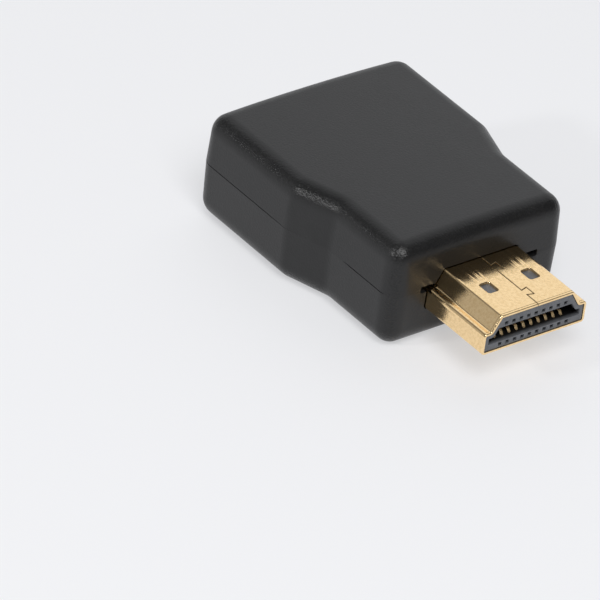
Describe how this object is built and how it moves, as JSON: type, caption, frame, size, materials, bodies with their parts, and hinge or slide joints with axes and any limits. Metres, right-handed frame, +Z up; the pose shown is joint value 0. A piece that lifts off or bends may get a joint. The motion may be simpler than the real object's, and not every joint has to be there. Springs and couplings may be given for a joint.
{
  "type": "inline audio video surge protector",
  "caption": "Flat black inline adapter with a gold plug at one end and a matching socket at the other, shielding a digital audio and video link from surges.",
  "frame": {"origin": "bottom centre of the bounding box, on the plane that the housing rests on", "axes": "+X runs from the socket's mouth towards the plug's tip, Y across, +Z up towards the narrow side of both connectors"},
  "size_m": [0.0416, 0.0272, 0.0129],
  "materials": {
    "housing_plastic": "fine spark-eroded black moulding",
    "gold_plate": "bright gold-plated stamped sheet",
    "contact_gold": "gold-plated spring strip",
    "insulator_resin": "dark blue-grey moulded resin",
    "board_laminate": "green solder-masked laminate",
    "array_epoxy": "black moulded epoxy package"
  },
  "bodies": {
    "root": {"lower_shell": "housing_plastic", "upper_shell": "housing_plastic", "socket_bezel": "housing_plastic", "plug_shell": "gold_plate", "socket_shell": "gold_plate", "plug_insulator": "insulator_resin", "socket_insulator": "insulator_resin", "circuit_board": "board_laminate", "plug_contact_wide_1": "contact_gold", "plug_contact_wide_2": "contact_gold", "plug_contact_wide_3": "contact_gold", "plug_contact_wide_4": "contact_gold", "plug_contact_wide_5": "contact_gold", "plug_contact_wide_6": "contact_gold", "plug_contact_wide_7": "contact_gold", "plug_contact_wide_8": "contact_gold", "plug_contact_wide_9": "contact_gold", "plug_contact_wide_10": "contact_gold", "plug_contact_narrow_1": "contact_gold", "plug_contact_narrow_2": "contact_gold", "plug_contact_narrow_3": "contact_gold", "plug_contact_narrow_4": "contact_gold", "plug_contact_narrow_5": "contact_gold", "plug_contact_narrow_6": "contact_gold", "plug_contact_narrow_7": "contact_gold", "plug_contact_narrow_8": "contact_gold", "plug_contact_narrow_9": "contact_gold", "socket_contact_wide_1": "contact_gold", "socket_contact_wide_2": "contact_gold", "socket_contact_wide_3": "contact_gold", "socket_contact_wide_4": "contact_gold", "socket_contact_wide_5": "contact_gold", "socket_contact_wide_6": "contact_gold", "socket_contact_wide_7": "contact_gold", "socket_contact_wide_8": "contact_gold", "socket_contact_wide_9": "contact_gold", "socket_contact_wide_10": "contact_gold", "socket_contact_narrow_1": "contact_gold", "socket_contact_narrow_2": "contact_gold", "socket_contact_narrow_3": "contact_gold", "socket_contact_narrow_4": "contact_gold", "socket_contact_narrow_5": "contact_gold", "socket_contact_narrow_6": "contact_gold", "socket_contact_narrow_7": "contact_gold", "socket_contact_narrow_8": "contact_gold", "socket_contact_narrow_9": "contact_gold", "surge_array_1": "array_epoxy", "surge_array_2": "array_epoxy", "surge_array_3": "array_epoxy", "surge_array_4": "array_epoxy"}
  },
  "joints": []
}
